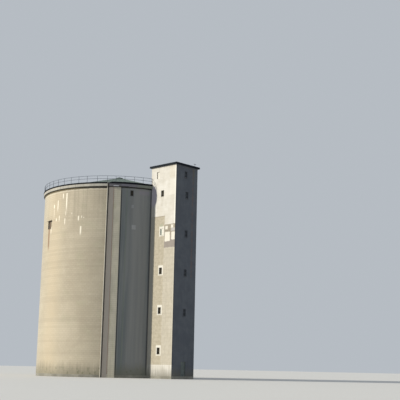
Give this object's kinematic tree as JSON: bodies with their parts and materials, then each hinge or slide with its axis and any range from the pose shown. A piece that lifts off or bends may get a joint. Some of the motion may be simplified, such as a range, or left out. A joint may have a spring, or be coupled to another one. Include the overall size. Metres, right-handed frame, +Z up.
{
  "type": "concrete silo with stair tower",
  "caption": "Round concrete silo with a shallow conical roof, a railing round its eaves and a square stair tower against its wall.",
  "frame": {"origin": "on the silo's axis, at ground level, on the underside of the floor slab", "axes": "+X from the silo's axis towards the stair tower, +Z up"},
  "size_m": [29.22, 24.54, 32.6],
  "materials": {
    "concrete": "matte",
    "beam": "matte",
    "render": "matte",
    "floor": "matte",
    "roof": "matte",
    "dark_sheet": "satin",
    "rail": "satin",
    "pipe": "satin",
    "door": "satin"
  },
  "bodies": {
    "root": {"silo_floor_slab": "floor", "tower_floor_slab": "floor", "silo_wall_01": "concrete", "silo_wall_02_below_hatch": "concrete", "silo_wall_02_hatch_jamb_a": "concrete", "silo_wall_02_hatch_jamb_b": "concrete", "silo_wall_02_above_hatch": "concrete", "silo_wall_03": "concrete", "silo_wall_04": "concrete", "silo_wall_05": "concrete", "silo_wall_06": "concrete", "silo_wall_07": "concrete", "silo_wall_08": "concrete", "ring_beam_01": "beam", "ring_beam_02": "beam", "ring_beam_03": "beam", "ring_beam_04": "beam", "ring_beam_05": "beam", "coping_01": "dark_sheet", "coping_02": "dark_sheet", "coping_03": "dark_sheet", "coping_04": "dark_sheet", "coping_05": "dark_sheet", "roof_sector_01": "roof", "roof_sector_02": "roof", "roof_sector_03": "roof", "roof_sector_04": "roof", "roof_cap": "dark_sheet", "railing_01": "rail", "railing_02": "rail", "railing_03": "rail", "railing_04": "rail", "railing_05": "rail", "railing_06": "rail", "railing_07": "rail", "pilaster_shaft": "concrete", "riser_pipe": "pipe", "tower_side_wall_near": "render", "tower_side_wall_far": "render", "tower_outer_wall": "render", "tower_back_wall": "render", "tower_floor_1": "floor", "tower_floor_2": "floor", "tower_floor_3": "floor", "tower_floor_4": "floor", "tower_floor_5": "floor", "tower_roof": "dark_sheet", "tower_door": "door", "roof_door": "door", "roof_mast": "rail"}
  },
  "joints": []
}
